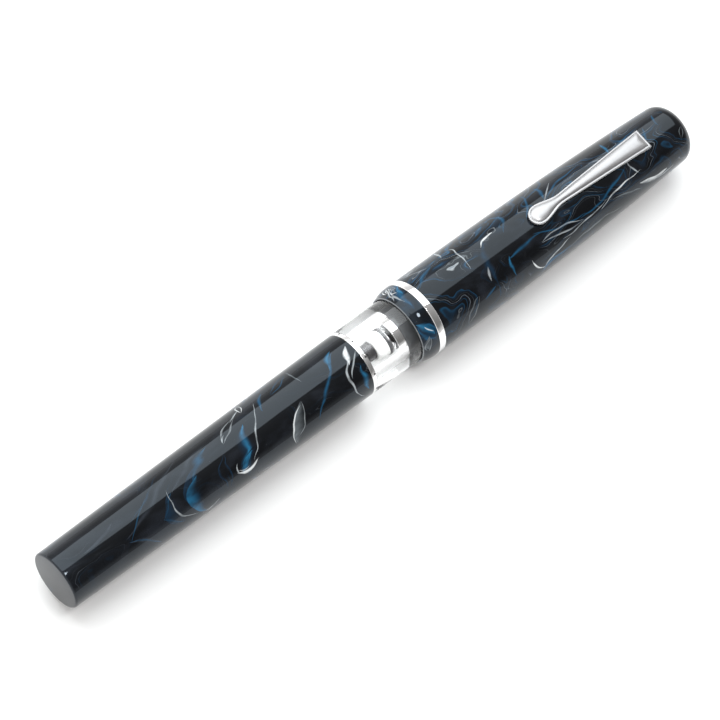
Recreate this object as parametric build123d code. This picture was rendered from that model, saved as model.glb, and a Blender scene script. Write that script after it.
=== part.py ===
from build123d import *
import os

# A capped fountain pen with a pull-rod (vacuum) filler, lying on a table with its clip up.
# Lengths are millimetres. A station is a distance along the pen from the flat end of its knob,
# and a radius is measured from the pen's axis. The pen is built along +X from station 0, then
# moved so that the origin is under the middle of the pen, on the surface that it lies on.

# ---- Driving dimensions: outside -------------------------------------------------------------
LENGTH = 149.8                 # knob's flat end to the top of the cap
END_RADIUS = 5.62              # knob at its flat end
END_ROUND = 0.45               # rounding between the flat end and the knob's side
KNOB_SEAM = 22.0               # where the knob meets the barrel
JOINT_START = 67.7             # barrel's front end, where the joint ring starts
JOINT_END = 68.6
BODY_RADIUS = 6.42             # barrel at the joint ring
WINDOW_RADIUS = 6.50           # clear window where it enters the cap
LIP_START = 79.3               # mouth of the cap
BAND_START = 82.7
BAND_END = 84.2
BAND_RADIUS = 7.55             # the widest ring, which touches the table
CAP_RADIUS = 7.48              # cap just above the band
CAP_SHOULDER = 147.0           # where the cap starts to round over into its top
CAP_SHOULDER_RADIUS = 5.98
CAP_FLAT_RADIUS = 2.2          # small flat in the middle of the cap's top

# ---- Driving dimensions: filler --------------------------------------------------------------
ROD_RADIUS = 1.55
RUNNING_GAP = 0.07             # radial gap between the rod and what it runs through
CHAMBER_RADIUS = 2.86          # ink chamber in the barrel, which the plunger's seal sweeps
WINDOW_BORE = 3.20             # wider bore in the window, where the plunger lets go
NUT_THREAD_RADIUS = 3.90
KNOB_POCKET_RADIUS = 4.60
KNOB_POCKET_START = 5.0
SEAT_RADIUS = 4.20             # packing bush's seat in the barrel
CHAMBER_START = 29.0
SPIGOT_RADIUS = 4.60           # the window's spigot in the barrel
SPIGOT_START = 62.0
BORE_TAPER = 1.2               # length over which the chamber widens to the window's bore
ROD_HEAD_START = 6.9           # disc on the back of the rod, held inside the knob
ROD_HEAD_END = 9.1
ROD_HEAD_RADIUS = 2.42
CORE_POCKET_END = 9.2          # pocket for that disc in the knob's metal core
CORE_POCKET_RADIUS = 2.50
CORE_THREAD_START = 13.6
CORE_THREAD_END = 21.4
NUT_START = 14.4               # threaded nut that the knob screws onto
NUT_THREAD_START = 14.6
NUT_THREAD_END = 21.8
NUT_END = 24.0
FLANGE_RADIUS = 4.90           # nut's flange in the end of the barrel
PACKING_RADIUS = 2.60          # pocket for the two sealing rings round the rod
PACKING_END = 26.4
PACKING_STATIONS = (24.65, 25.8)
SPACER_START = 68.3            # sleeve on the rod behind the plunger's seal
SPACER_RADIUS = 1.84
SEAL_START = 72.4
SEAL_END = 74.6
STUD_RADIUS = 1.00             # thin front of the rod, which carries the plunger's head
STUD_END = 75.1

# ---- Driving dimensions: front ---------------------------------------------------------------
SHUTOFF_START = 76.0           # chrome shut-off seat behind the section's tenon
TENON_START = 77.65
TENON_RADIUS = WINDOW_BORE     # the section's tenon is cemented into the window's bore
WINDOW_FRONT = 88.0
THREAD_DEPTH = 0.32
PEN_THREAD_START = 80.6        # thread on the window, inside the closed cap
PEN_THREAD_END = 86.2
SHANK_START = 86.4
SHANK_RADIUS = 5.60
GROOVE_START = 86.8            # groove round the section's tenon for its sealing ring
GROOVE_END = 87.4
GROOVE_RADIUS = 2.70
INK_CHANNEL = 1.50
SECTION_RING_RADIUS = 5.62
SECTION_START = 88.7
SECTION_RADIUS = 5.50
SECTION_FLARE = 103.3
SECTION_FLARE_RADIUS = 5.12
SECTION_FRONT = 104.5
SECTION_FRONT_RADIUS = 4.75
COLLAR_START = 96.5
COLLAR_RADIUS = 3.90
NIB_RADIUS = 3.00
NIB_THICKNESS = 0.30
NIB_START = 98.0
NIB_TAPER = 108.0              # where the nib's tube turns into a cone
NIB_SHOULDER = 111.0           # widest part of the nib's outline
NIB_HALF_WIDTH = 2.95
BREATHER = 113.0               # round hole at the end of the nib's slit
BREATHER_RADIUS = 0.55
SLIT_WIDTH = 0.10
NIB_TIP = 125.4
NIB_TIP_RADIUS = 0.90
NIB_TIP_HALF_WIDTH = 0.32
PELLET_RADIUS = 0.42           # hard ball at the writing point
FIN_START = 106.8              # first of the feed's fins
FIN_COUNT = 13
FIN_PITCH = 0.75
FIN_RADIUS = 2.60
FIN_ROOT = 1.55

# ---- Driving dimensions: cap and clip --------------------------------------------------------
CAP_THREAD_RADIUS = 6.16       # crest of the pen's own thread
LIP_THREAD_CREST = 6.24        # crest of the cap's thread, which passes over the pen's
LIP_THREAD_START = 80.9
LIP_THREAD_END = 86.0
LIP_BORE = 6.58
LIP_BORE_END = 80.7
SLEEVE_RADIUS = 6.92           # lip's sleeve, which carries the band and enters the cap
SLEEVE_END = 89.0
CAP_BORE = 6.36
LINER_SEAT = 98.0
LINER_SEAT_RADIUS = 5.90
LINER_START = 99.4             # inner cap that closes over the nib and section
LINER_RADIUS = 5.82
LINER_MOUTH_RADIUS = 5.32
LINER_MOUTH_END = 104.9
LINER_BORE = 4.60
LINER_FLOOR = 130.6
LINER_END = 131.6
BUSH_SEAT = 132.0
BUSH_START = 133.2
BUSH_END = 136.9
BUSH_RADIUS = 5.20
BUSH_BORE = 2.00
CAP_BLIND_END = 139.7
CLIP_TIP = 110.0
CLIP_TOP = 139.2
CLIP_PIVOT = 138.05            # middle of the clip's root, which the clip bends about
CLIP_TOP_HALF_WIDTH = 2.05
CLIP_WAIST = 117.4
CLIP_WAIST_HALF_WIDTH = 0.98
CLIP_TIP_ROUND = 1.95
CLIP_UNDERSIDE = 6.95          # underside of the clip's top, just inside the cap's surface
CLIP_ROOT_HALF_LENGTH = 0.72
CLIP_ROOT_END = 4.40
SLOT_LENGTH = 1.90
SLOT_HALF_WIDTH = 1.95
PIN_COUNT = 11                 # small dark pins round the joint ring
PIN_RADIUS = 0.20
PIN_DEPTH = 0.60
PIN_SETBACK = 0.25             # from the joint ring's front edge to the middle of a pin
PIN_PHASE = 17.0               # degrees from the top of the pen to the first pin


def body_radius(station):
    """Outer radius of the evenly tapered knob and barrel."""
    return END_RADIUS + (BODY_RADIUS - END_RADIUS) * station / JOINT_START


def turned(*outline):
    """Solid turned about the pen's axis from a closed outline of edges or of (station, radius) points."""
    if isinstance(outline[0], tuple):
        outline = [Polyline(*outline, close=True)]
    face = make_face(Curve() + list(outline))
    return revolve(Plane.XZ * face, Axis.X, 360)


def tube(start, end, outer, inner):
    """Plain tube between two stations."""
    return turned((start, inner), (start, outer), (end, outer), (end, inner))


def ridges(start, end, count, root, crest):
    """Points of a ridged outline between two stations: rings that stand in for a thread."""
    pitch = (end - start) / count
    points = []
    for turn in range(count):
        base = start + turn * pitch
        points.append((base + 0.10 * pitch, root))
        points.append((base + 0.35 * pitch, crest))
        points.append((base + 0.60 * pitch, crest))
        points.append((base + 0.85 * pitch, root))
    return points


def make_knob():
    seam_radius = body_radius(KNOB_SEAM)
    corner = 0.293 * END_ROUND
    return turned(
        Line((0, 0), (0, END_RADIUS - END_ROUND)),
        ThreePointArc(
            (0, END_RADIUS - END_ROUND),
            (corner, END_RADIUS - corner),
            (END_ROUND, END_RADIUS),
        ),
        Polyline(
            (END_ROUND, END_RADIUS),
            (KNOB_SEAM, seam_radius),
            (KNOB_SEAM, KNOB_POCKET_RADIUS),
            (KNOB_POCKET_START, KNOB_POCKET_RADIUS),
            (KNOB_POCKET_START, 0),
            (0, 0),
        ),
    )


def make_knob_core():
    thread_root = NUT_THREAD_RADIUS + 0.35
    crest = NUT_THREAD_RADIUS + 0.08
    rod_bore = ROD_RADIUS + RUNNING_GAP
    inner = ridges(CORE_THREAD_START, CORE_THREAD_END, 9, thread_root, crest)
    return turned(
        (KNOB_POCKET_START, CORE_POCKET_RADIUS),
        (KNOB_POCKET_START, KNOB_POCKET_RADIUS),
        (KNOB_SEAM - 0.1, KNOB_POCKET_RADIUS),
        (KNOB_SEAM - 0.1, thread_root),
        *reversed(inner),
        (CORE_THREAD_START, thread_root),
        (CORE_THREAD_START, rod_bore),
        (CORE_POCKET_END, rod_bore),
        (CORE_POCKET_END, CORE_POCKET_RADIUS),
    )


def make_packing_nut():
    rod_bore = ROD_RADIUS + RUNNING_GAP
    thread_root = NUT_THREAD_RADIUS - 0.35
    return turned(
        (NUT_START, rod_bore),
        (NUT_START, thread_root),
        *ridges(NUT_THREAD_START, NUT_THREAD_END, 8, thread_root, NUT_THREAD_RADIUS),
        (KNOB_SEAM, thread_root),
        (KNOB_SEAM, FLANGE_RADIUS),
        (NUT_END, FLANGE_RADIUS),
        (NUT_END, rod_bore),
    )


def make_packing_bush():
    rod_bore = ROD_RADIUS + RUNNING_GAP
    return turned(
        (NUT_END, PACKING_RADIUS),
        (NUT_END, SEAT_RADIUS),
        (CHAMBER_START, SEAT_RADIUS),
        (CHAMBER_START, rod_bore),
        (PACKING_END, rod_bore),
        (PACKING_END, PACKING_RADIUS),
    )


def seal_ring(station, inner, outer):
    """Round-section sealing ring that fills the space between two radii."""
    return Pos(station, 0, 0) * Rot(0, 90, 0) * Torus((outer + inner) / 2, (outer - inner) / 2)


def make_packing_seals():
    inner = ROD_RADIUS + 0.05
    return Compound(children=[seal_ring(s, inner, PACKING_RADIUS) for s in PACKING_STATIONS])


def make_barrel():
    return turned(
        (KNOB_SEAM, FLANGE_RADIUS),
        (KNOB_SEAM, body_radius(KNOB_SEAM)),
        (JOINT_START, BODY_RADIUS),
        (JOINT_START, SPIGOT_RADIUS),
        (SPIGOT_START, SPIGOT_RADIUS),
        (SPIGOT_START, WINDOW_BORE),
        (SPIGOT_START - BORE_TAPER, CHAMBER_RADIUS),
        (CHAMBER_START, CHAMBER_RADIUS),
        (CHAMBER_START, SEAT_RADIUS),
        (NUT_END, SEAT_RADIUS),
        (NUT_END, FLANGE_RADIUS),
    )


def joint_pin(index):
    """Round pin set into the joint ring near its front edge, its outer end just proud of the ring."""
    pin = Cylinder(PIN_RADIUS, PIN_DEPTH + 0.02, align=(Align.CENTER, Align.CENTER, Align.MIN))
    turn = PIN_PHASE + 360 * index / PIN_COUNT
    return Rot(turn, 0, 0) * Pos(JOINT_END - PIN_SETBACK, 0, BODY_RADIUS - PIN_DEPTH) * pin


def make_joint_ring():
    ring = tube(JOINT_START, JOINT_END, BODY_RADIUS, SPIGOT_RADIUS)
    for index in range(PIN_COUNT):
        ring -= joint_pin(index)
    return ring


def make_joint_pins():
    return Compound(children=[joint_pin(index) for index in range(PIN_COUNT)])


def make_ink_window():
    thread_root = CAP_THREAD_RADIUS - THREAD_DEPTH
    return turned(
        (SPIGOT_START, WINDOW_BORE),
        (SPIGOT_START, SPIGOT_RADIUS),
        (JOINT_END, SPIGOT_RADIUS),
        (JOINT_END, BODY_RADIUS + 0.01),
        (LIP_START + 0.7, WINDOW_RADIUS),
        (LIP_START + 1.0, thread_root),
        *ridges(PEN_THREAD_START, PEN_THREAD_END, 6, thread_root, CAP_THREAD_RADIUS),
        (SHANK_START, thread_root),
        (SHANK_START, SHANK_RADIUS),
        (WINDOW_FRONT, SHANK_RADIUS),
        (WINDOW_FRONT, WINDOW_BORE),
    )


def make_shutoff_seat():
    outer = WINDOW_BORE - 0.05
    return turned(
        (SHUTOFF_START + 0.25, 2.2),
        (SHUTOFF_START, 2.45),
        (SHUTOFF_START, outer - 0.15),
        (SHUTOFF_START + 0.15, outer),
        (TENON_START, outer),
        (TENON_START, INK_CHANNEL),
        (SHUTOFF_START + 1.1, INK_CHANNEL),
    )


def make_section():
    grip = Spline(
        (SECTION_START, SECTION_RADIUS),
        (96.0, 5.02),
        (101.6, 4.86),
        (SECTION_FLARE, SECTION_FLARE_RADIUS),
    )
    nose = ThreePointArc(
        (SECTION_FLARE, SECTION_FLARE_RADIUS),
        (SECTION_FRONT - 0.4, 5.06),
        (SECTION_FRONT, SECTION_FRONT_RADIUS),
    )
    return turned(
        Polyline(
            (SECTION_FRONT, SECTION_FRONT_RADIUS),
            (SECTION_FRONT, COLLAR_RADIUS),
            (COLLAR_START, COLLAR_RADIUS),
            (COLLAR_START, INK_CHANNEL),
            (TENON_START, INK_CHANNEL),
            (TENON_START, TENON_RADIUS),
            (GROOVE_START, TENON_RADIUS),
            (GROOVE_START, GROOVE_RADIUS),
            (GROOVE_END, GROOVE_RADIUS),
            (GROOVE_END, TENON_RADIUS),
            (SECTION_START, TENON_RADIUS),
            (SECTION_START, SECTION_RADIUS),
        ),
        grip,
        nose,
    )


def make_section_seal():
    return seal_ring((GROOVE_START + GROOVE_END) / 2, GROOVE_RADIUS, TENON_RADIUS - 0.02)


def make_section_ring():
    return tube(WINDOW_FRONT, SECTION_START, SECTION_RING_RADIUS, TENON_RADIUS)


def make_nib():
    inner_base = NIB_RADIUS - NIB_THICKNESS
    shell = turned(
        (NIB_START, inner_base),
        (NIB_START, NIB_RADIUS),
        (NIB_TAPER, NIB_RADIUS),
        (NIB_TIP, NIB_TIP_RADIUS),
        (NIB_TIP, NIB_TIP_RADIUS - NIB_THICKNESS),
        (NIB_TAPER, inner_base),
    )
    side = Spline(
        (NIB_SHOULDER, NIB_HALF_WIDTH), (115.0, 2.3), (120.0, 0.95), (NIB_TIP, NIB_TIP_HALF_WIDTH),
        tangents=((1, -0.05), (1, -0.06)),
    )
    outline = make_face(
        Curve() + [
            side,
            Line((NIB_TIP, NIB_TIP_HALF_WIDTH), (NIB_TIP, -NIB_TIP_HALF_WIDTH)),
            mirror(side, Plane.XZ),
            Polyline(
                (NIB_SHOULDER, -NIB_HALF_WIDTH),
                (NIB_START, -NIB_HALF_WIDTH),
                (NIB_START, NIB_HALF_WIDTH),
                (NIB_SHOULDER, NIB_HALF_WIDTH),
            ),
        ]
    )
    nib = shell & extrude(outline, amount=NIB_RADIUS + 1)
    slit_length = NIB_TIP + 0.6 - BREATHER
    nib -= Pos(BREATHER + slit_length / 2, 0, 2) * Box(slit_length, SLIT_WIDTH, 6)
    nib -= Pos(BREATHER, 0, 2) * Cylinder(BREATHER_RADIUS, 6)
    pellet = Pos(NIB_TIP - 0.1, 0, NIB_TIP_RADIUS - NIB_THICKNESS / 2) * Sphere(PELLET_RADIUS)
    pellet -= Pos(NIB_TIP, 0, 2) * Box(3, SLIT_WIDTH, 6)
    return nib + pellet


def make_feed():
    body_top = NIB_RADIUS - NIB_THICKNESS
    fins = [(102.0, NIB_RADIUS), (106.0, NIB_RADIUS), (106.6, FIN_RADIUS)]
    for fin in range(FIN_COUNT):
        base = FIN_START + FIN_PITCH * fin
        crest = FIN_RADIUS - 0.055 * fin
        fins.append((base, FIN_ROOT))
        fins.append((base + 0.35, FIN_ROOT))
        fins.append((base + 0.35, crest))
        fins.append((base + 0.70, crest))
    lower = turned((COLLAR_START, 0), (COLLAR_START, NIB_RADIUS), *fins, (119.5, 0.6), (121.5, 0))
    upper = turned(
        (COLLAR_START, 0),
        (COLLAR_START, body_top),
        (NIB_TAPER, body_top),
        (121.0, 1.05),
        (121.0, 0),
    )
    below = Pos(110, 0, -5) * Box(40, 12, 10)
    above = Pos(110, 0, 5) * Box(40, 12, 10)
    return (lower & below) + (upper & above)


def make_nib_collar():
    return tube(COLLAR_START, SECTION_FRONT - 0.2, COLLAR_RADIUS, NIB_RADIUS)


def make_plunger_rod():
    return turned(
        (ROD_HEAD_START, 0),
        (ROD_HEAD_START, ROD_HEAD_RADIUS),
        (ROD_HEAD_END, ROD_HEAD_RADIUS),
        (ROD_HEAD_END, ROD_RADIUS),
        (SEAL_START, ROD_RADIUS),
        (SEAL_START, STUD_RADIUS),
        (STUD_END, STUD_RADIUS),
        (STUD_END, 0),
    )


def make_plunger_collar():
    return tube(SPACER_START, SEAL_START, SPACER_RADIUS, ROD_RADIUS)


def make_plunger_seal():
    return turned(
        (SEAL_START, STUD_RADIUS),
        (SEAL_START, 2.05),
        (SEAL_START + 0.35, 2.35),
        (SEAL_END, 2.62),
        (SEAL_END, STUD_RADIUS),
    )


def make_plunger_ring():
    radius = 2.76
    edge = 0.12
    return turned(
        (SEAL_END, STUD_RADIUS),
        (SEAL_END, radius - edge),
        (SEAL_END + edge, radius),
        (STUD_END - edge, radius),
        (STUD_END, radius - edge),
        (STUD_END, STUD_RADIUS),
    )


def make_plunger_nose():
    return turned(
        (STUD_END, 0), (STUD_END, 2.62), (STUD_END + 0.25, 2.66), (STUD_END + 0.5, 2.2), (STUD_END + 0.5, 0)
    )


def make_cap_lip():
    mouth = LIP_START
    thread_root = LIP_THREAD_CREST + 0.28
    lip_radius = CAP_RADIUS + 0.02
    outer = Spline(
        (mouth + 0.15, 6.84), (mouth + 0.85, 7.12), (mouth + 2.3, 7.46), (BAND_START, lip_radius),
        tangents=((0.35, 1), (1, 0)),
    )
    inner = ridges(LIP_THREAD_START, LIP_THREAD_END, 5, thread_root, LIP_THREAD_CREST)
    return turned(
        outer,
        Polyline(
            (BAND_START, lip_radius),
            (BAND_START, SLEEVE_RADIUS),
            (SLEEVE_END, SLEEVE_RADIUS),
            (SLEEVE_END, thread_root),
            *reversed(inner),
            (LIP_BORE_END, LIP_BORE),
            (mouth, LIP_BORE),
            (mouth, 6.74),
            (mouth + 0.15, 6.84),
        ),
    )


def make_cap_band():
    crown = ThreePointArc(
        (BAND_START, BAND_RADIUS - 0.10),
        ((BAND_START + BAND_END) / 2, BAND_RADIUS),
        (BAND_END, BAND_RADIUS - 0.10),
    )
    return turned(
        crown,
        Polyline(
            (BAND_END, BAND_RADIUS - 0.10),
            (BAND_END, SLEEVE_RADIUS),
            (BAND_START, SLEEVE_RADIUS),
            (BAND_START, BAND_RADIUS - 0.10),
        ),
    )


def cap_side():
    """Outer line of the cap from the band to the start of its rounded shoulder."""
    return Spline(
        (BAND_END, CAP_RADIUS), (106.0, 7.36), (127.5, 6.88), (CAP_SHOULDER, CAP_SHOULDER_RADIUS),
        tangents=((1, 0), (1, -0.062)),
    )


def make_cap_tube():
    shoulder = ThreePointArc(
        (CAP_SHOULDER, CAP_SHOULDER_RADIUS), (148.75, 5.05), (149.5, 3.55)
    )
    top = ThreePointArc((149.5, 3.55), (149.66, 3.0), (LENGTH, CAP_FLAT_RADIUS))
    cap = turned(
        cap_side(),
        shoulder,
        top,
        Polyline(
            (LENGTH, CAP_FLAT_RADIUS),
            (LENGTH, 0),
            (CAP_BLIND_END, 0),
            (CAP_BLIND_END, BUSH_RADIUS),
            (BUSH_SEAT, BUSH_RADIUS),
            (BUSH_SEAT, LINER_SEAT_RADIUS),
            (LINER_SEAT, LINER_SEAT_RADIUS),
            (LINER_SEAT, CAP_BORE),
            (SLEEVE_END, CAP_BORE),
            (SLEEVE_END, SLEEVE_RADIUS),
            (BAND_END, SLEEVE_RADIUS),
            (BAND_END, CAP_RADIUS),
        ),
    )
    slot = Pos(CLIP_PIVOT, 0, 6.5) * Box(SLOT_LENGTH, 2 * SLOT_HALF_WIDTH, 5)
    return cap - slot


def make_clip_bush():
    return tube(BUSH_START, BUSH_END, BUSH_RADIUS, BUSH_BORE)


def make_inner_cap():
    return turned(
        (LINER_START, LINER_MOUTH_RADIUS),
        (LINER_START, LINER_RADIUS),
        (LINER_END, LINER_RADIUS),
        (LINER_END, 0),
        (LINER_FLOOR, 0),
        (LINER_FLOOR, LINER_BORE),
        (LINER_MOUTH_END + 0.3, LINER_BORE),
        (LINER_MOUTH_END, LINER_MOUTH_RADIUS),
    )


def clip_side():
    """The clip seen from the side: a bowed blade with a square root that drops into the cap."""
    top_face = 8.05
    tip_face = 8.46
    tip_back = 8.00
    blade_end = CLIP_PIVOT - 0.85
    root_back = CLIP_PIVOT - CLIP_ROOT_HALF_LENGTH
    root_front = CLIP_PIVOT + CLIP_ROOT_HALF_LENGTH
    face_line = Spline(
        (CLIP_TOP, top_face), (130.0, 8.44), (118.0, 8.70), (CLIP_TIP, tip_face),
        tangents=((-1, 0.04), (-1, -0.07)),
    )
    back_line = Spline(
        (CLIP_TIP, tip_back), (113.0, 7.66), (120.0, 7.84), (blade_end, 7.20),
        tangents=((1, -0.16), (1, -0.05)),
    )
    return make_face(
        Curve() + [
            face_line,
            Line((CLIP_TIP, tip_face), (CLIP_TIP, tip_back)),
            back_line,
            Polyline(
                (blade_end, 7.20),
                (root_back, CLIP_UNDERSIDE),
                (root_back, CLIP_ROOT_END),
                (root_front, CLIP_ROOT_END),
                (root_front, CLIP_UNDERSIDE),
                (CLIP_TOP, CLIP_UNDERSIDE),
                (CLIP_TOP, top_face),
            ),
        ]
    )


def clip_plan():
    """The clip seen from above: a round tip, a narrow waist and a square top."""
    round_end = CLIP_TIP + CLIP_TIP_ROUND
    half = Spline(
        (CLIP_TOP, CLIP_TOP_HALF_WIDTH),
        (130.0, 1.58),
        (CLIP_WAIST, CLIP_WAIST_HALF_WIDTH),
        (round_end, CLIP_TIP_ROUND),
        tangents=((-1, -0.047), (-1, 0.0)),
    )
    tip = ThreePointArc((round_end, CLIP_TIP_ROUND), (CLIP_TIP, 0), (round_end, -CLIP_TIP_ROUND))
    top = Line((CLIP_TOP, -CLIP_TOP_HALF_WIDTH), (CLIP_TOP, CLIP_TOP_HALF_WIDTH))
    return make_face(Curve() + [half, tip, mirror(half, Plane.XZ), top])


def make_clip():
    """Spring clip: its side view and its plan view, each as a thick slab, cut into each other."""
    blade = extrude(Plane.XZ * clip_side(), amount=4, both=True) & extrude(clip_plan(), amount=10)
    root_centre = Pos(CLIP_PIVOT, 0, 4.5)
    root_height = 2 * (CLIP_UNDERSIDE - 4.5)
    beside_root = root_centre * Box(12, 12, root_height)
    beside_root -= root_centre * Box(4, 2 * SLOT_HALF_WIDTH - 0.3, root_height)
    return blade - beside_root


NODES = {
    "knob": make_knob,
    "knob_core": make_knob_core,
    "packing_nut": make_packing_nut,
    "packing_bush": make_packing_bush,
    "packing_seals": make_packing_seals,
    "barrel": make_barrel,
    "joint_ring": make_joint_ring,
    "joint_pins": make_joint_pins,
    "ink_window": make_ink_window,
    "shutoff_seat": make_shutoff_seat,
    "section": make_section,
    "section_seal": make_section_seal,
    "section_ring": make_section_ring,
    "nib": make_nib,
    "feed": make_feed,
    "nib_collar": make_nib_collar,
    "plunger_rod": make_plunger_rod,
    "plunger_collar": make_plunger_collar,
    "plunger_seal": make_plunger_seal,
    "plunger_ring": make_plunger_ring,
    "plunger_nose": make_plunger_nose,
    "cap_lip": make_cap_lip,
    "cap_band": make_cap_band,
    "cap_tube": make_cap_tube,
    "clip_bush": make_clip_bush,
    "inner_cap": make_inner_cap,
    "clip": make_clip,
}

os.makedirs("parts", exist_ok=True)
on_table = Pos(-LENGTH / 2, 0, BAND_RADIUS)
for name, make in NODES.items():
    export_step(on_table * make(), f"parts/{name}.step")
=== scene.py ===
import math

import bmesh
import bpy
import numpy as np
from mathutils import Matrix, Vector


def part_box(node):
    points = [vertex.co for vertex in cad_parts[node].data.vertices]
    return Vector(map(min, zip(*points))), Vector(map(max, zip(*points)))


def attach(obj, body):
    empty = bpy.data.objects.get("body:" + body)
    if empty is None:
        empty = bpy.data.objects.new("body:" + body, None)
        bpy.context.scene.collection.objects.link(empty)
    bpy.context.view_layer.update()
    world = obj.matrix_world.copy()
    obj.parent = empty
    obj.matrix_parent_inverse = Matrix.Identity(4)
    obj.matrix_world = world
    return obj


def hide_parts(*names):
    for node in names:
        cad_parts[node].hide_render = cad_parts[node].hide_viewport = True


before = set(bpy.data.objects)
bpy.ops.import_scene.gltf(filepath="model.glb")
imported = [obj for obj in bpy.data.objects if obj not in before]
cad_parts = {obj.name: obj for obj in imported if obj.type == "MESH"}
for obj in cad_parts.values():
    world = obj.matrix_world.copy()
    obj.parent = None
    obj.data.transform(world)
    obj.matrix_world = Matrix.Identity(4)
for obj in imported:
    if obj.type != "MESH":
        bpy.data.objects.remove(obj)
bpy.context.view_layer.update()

# A capped fountain pen, lying along X with the filler knob at -X, the cap at +X and the clip up.
# Lengths in this script are millimetres and are turned into metres when a mesh is made.
# A station is a distance along the pen from the knob's flat end, a radius is from the pen's axis.

MM = 0.001
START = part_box("knob")[0][0] / MM                       # X of station 0
AXIS_Z = (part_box("cap_band")[0][2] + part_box("cap_band")[1][2]) / 2 / MM


def station_of(x_metres):
    return x_metres / MM - START


# Stations and radii, read from the CAD where it holds them.
KNOB_SEAM = station_of(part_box("barrel")[0][0])
JOINT_START = station_of(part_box("joint_ring")[0][0])
JOINT_END = station_of(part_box("joint_ring")[1][0])
LIP_START = station_of(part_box("cap_lip")[0][0])
BAND_START = station_of(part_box("cap_band")[0][0])
BAND_END = station_of(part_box("cap_band")[1][0])
CAP_TOP = station_of(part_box("cap_tube")[1][0])
CLIP_TIP = station_of(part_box("clip")[0][0])
CLIP_TOP = station_of(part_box("clip")[1][0])
BODY_RADIUS = (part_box("joint_ring")[1][2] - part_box("joint_ring")[0][2]) / 2 / MM
BAND_RADIUS = AXIS_Z
SPIGOT_START = station_of(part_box("ink_window")[0][0])
WINDOW_FRONT = station_of(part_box("ink_window")[1][0])
SHUTOFF_START = station_of(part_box("shutoff_seat")[0][0])
TENON_START = station_of(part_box("section")[0][0])
SPACER_START = station_of(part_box("plunger_collar")[0][0])
SEAL_START = station_of(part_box("plunger_seal")[0][0])
SEAL_END = station_of(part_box("plunger_ring")[0][0])
CLIP_PIVOT = CLIP_TOP - 1.15    # middle of the clip's root, which goes down into the cap

# Dimensions that a box can't give, in the order of the pieces.
END_RADIUS = 5.62               # knob at its flat end
KNOB_POCKET_START = 5.0
KNOB_POCKET_RADIUS = 4.6
FLANGE_END = 24.0               # end of the recess for the packing nut's flange
FLANGE_RADIUS = 4.9
CHAMBER_START = 29.0
PACKING_SEAT_RADIUS = 4.2
CHAMBER_RADIUS = 2.86
CHAMBER_TAPER = 1.2             # length over which the chamber widens to the window's bore
SPIGOT_RADIUS = 4.6             # the window's spigot in the barrel, and the bore that takes it
WINDOW_BORE = 3.2
WINDOW_RADIUS = 6.50            # window where it enters the cap
WINDOW_SWELL = 74.0             # from here the window is almost as wide as at its shoulder
WINDOW_SHOULDER = 80.0          # where the window steps down to its thread
WINDOW_THREAD = (80.6, 86.2)
THREAD_ROOT = 5.84
THREAD_CREST = 6.16
SHANK_RADIUS = 5.6              # window in front of its thread
SEAT_RADIUS = 3.12              # shut-off ring that the plunger's head closes on
SEAT_FACE_RADIUS = 2.45
SEAT_BORE = 1.5
STUD_RADIUS = 1.0               # thin front of the plunger's rod
COLLAR_BORE = 1.56
COLLAR_RADIUS = 1.84
HEAD_RADIUS = 2.76              # ring at the front of the plunger's head
HEAD_STEP = 0.5                 # thickness of that ring, and of the nose in front of it
NOSE_RADIUS = 2.66
LIP_END = 89.0                  # front end of the lip's bonded neck
LIP_BORE = 6.58
LIP_THREAD = (80.9, 86.0)
LIP_THREAD_ROOT = 6.52
LIP_THREAD_CREST = 6.24
NECK_RADIUS = 6.92              # the lip's neck, and the recesses in the band and the cap that take it
BAND_EDGE_RADIUS = 7.45
CAP_RADIUS = 7.48
SHOULDER = 147.0                # where the cap starts to round over into its top
SHOULDER_RADIUS = 5.98
TOP_RISE = 2.62                 # how far the rounding rises along the pen, and how far it comes in
TOP_INSET = 2.55
TOP_FLAT_RADIUS = 2.6           # the cap's almost flat top
MOUTH_BORE = 6.36               # cap's bore between the lip's neck and the liner
LINER_BORE_START = 98.0
LINER_BORE = 5.9
BUSH_START = 132.0              # narrower bore for the bush that holds the clip's root
BUSH_RADIUS = 5.2
CAP_BORE_END = 139.7
SLOT = (0.90, 1.90)             # half length and half width of the slot for the clip's root
SLOT_BOTTOM = 3.9
SLOT_TOP = 9.0                  # clear above the cap's surface
ROOT = (0.70, 1.75)             # half length and half width of the clip's root
ROOT_BOTTOM = 4.42              # heights of the root's ends above the pen's axis
ROOT_TOP = 7.35


# ---- Mesh helpers ----------------------------------------------------------------------------
def place(station, across, height):
    """A point in metres from a station, a distance across the pen and a height above its axis."""
    return ((START + station) * MM, across * MM, (AXIS_Z + height) * MM)


def rounded(points, default=0.06, steps=4):
    """A closed outline with each corner rounded: a point is (station, radius) or (station, radius, round)."""
    result = []
    count = len(points)
    for index, point in enumerate(points):
        here = Vector(point[:2])
        before = Vector(points[index - 1][:2])
        after = Vector(points[(index + 1) % count][:2])
        size = point[2] if len(point) > 2 else default
        into = here - before
        out = after - here
        turn = into.angle(out) if into.length > 0 and out.length > 0 else 0
        if size <= 0 or here[1] <= 0 or turn < 0.02:
            result.append(tuple(here))
            continue
        cut = min(size * math.tan(turn / 2), 0.45 * into.length, 0.45 * out.length)
        first = here - into.normalized() * cut
        last = here + out.normalized() * cut
        for step in range(steps + 1):
            t = step / steps
            spot = first * (1 - t) ** 2 + here * (2 * t * (1 - t)) + last * t ** 2
            result.append(tuple(spot))
    return result


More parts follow.
